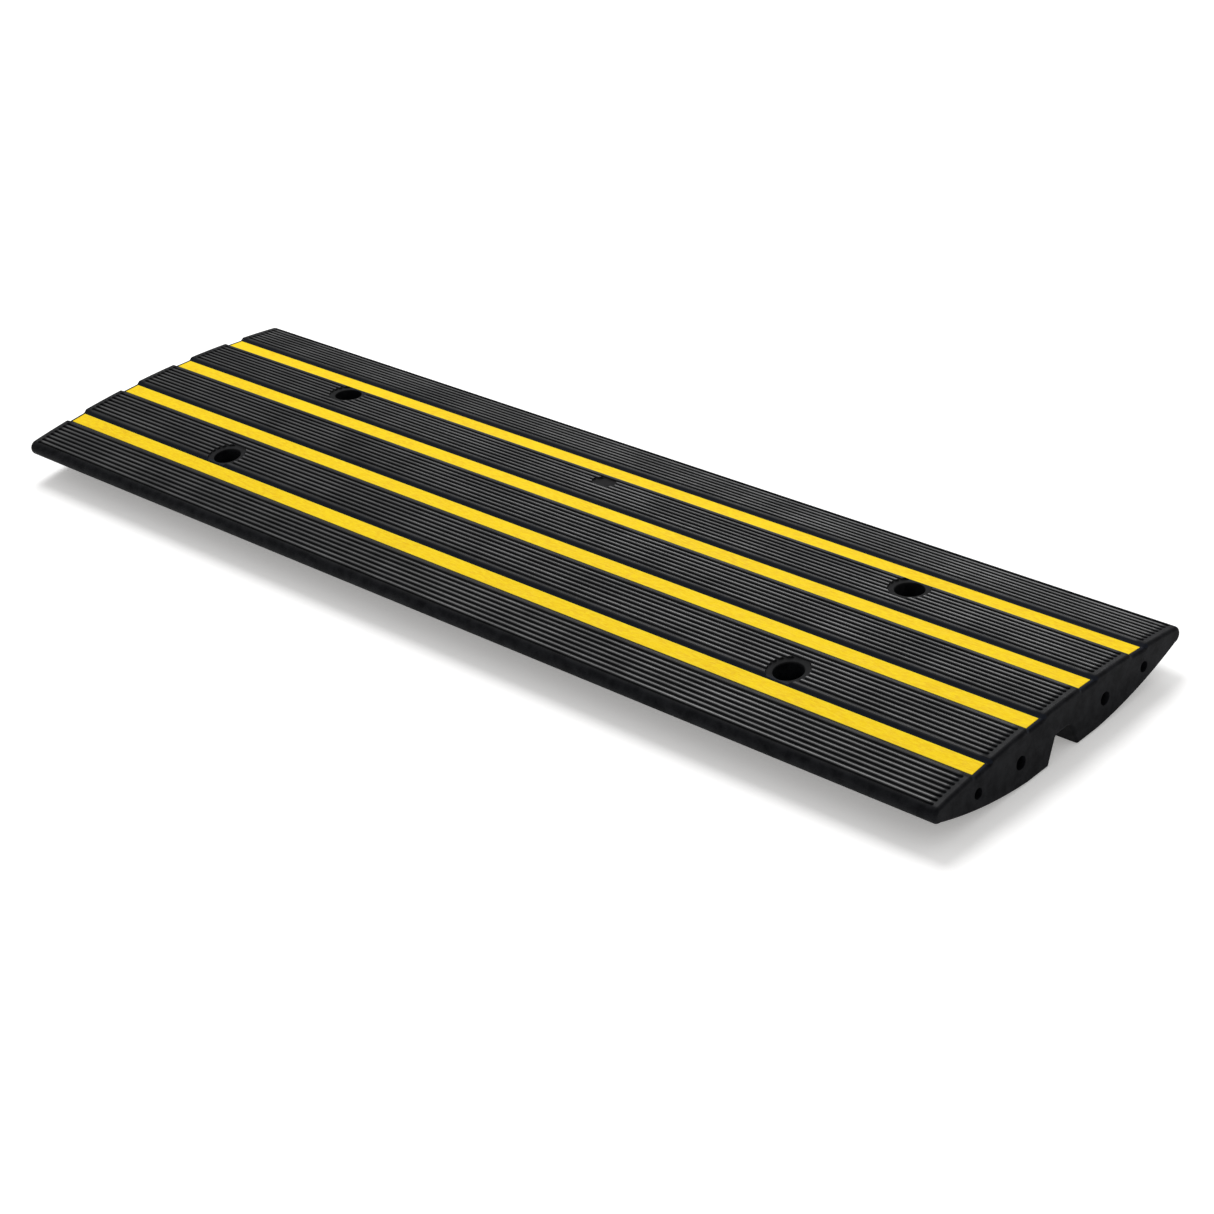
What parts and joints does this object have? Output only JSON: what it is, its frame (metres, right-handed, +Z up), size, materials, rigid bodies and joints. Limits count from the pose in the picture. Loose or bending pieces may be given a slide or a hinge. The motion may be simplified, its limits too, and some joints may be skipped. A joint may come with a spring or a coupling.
{
  "type": "rubber speed bump",
  "caption": "Moulded rubber speed bump section with a ribbed crowned tread, inset yellow strips, counterbored bolt holes, end sockets for joining pins and an underside cable channel.",
  "frame": {"origin": "under the middle of the section, on the ground that its two feet stand on", "axes": "+X along the section, +Y across it towards the back, +Z up"},
  "size_m": [1.2, 0.35, 0.053],
  "materials": {
    "black_rubber": "moulded rubber, matt with a faint sheen on the rib crests",
    "yellow_strip": "fine-grained satin thermoplastic",
    "zinc_steel": "zinc-plated, dull"
  },
  "bodies": {
    "root": {"rubber_body": "black_rubber", "strip_front_outer": "yellow_strip", "strip_front_inner": "yellow_strip", "strip_back_inner": "yellow_strip", "strip_back_outer": "yellow_strip", "seat_washer_front_left": "zinc_steel", "seat_washer_front_right": "zinc_steel", "seat_washer_back_left": "zinc_steel", "seat_washer_back_right": "zinc_steel"}
  },
  "joints": []
}
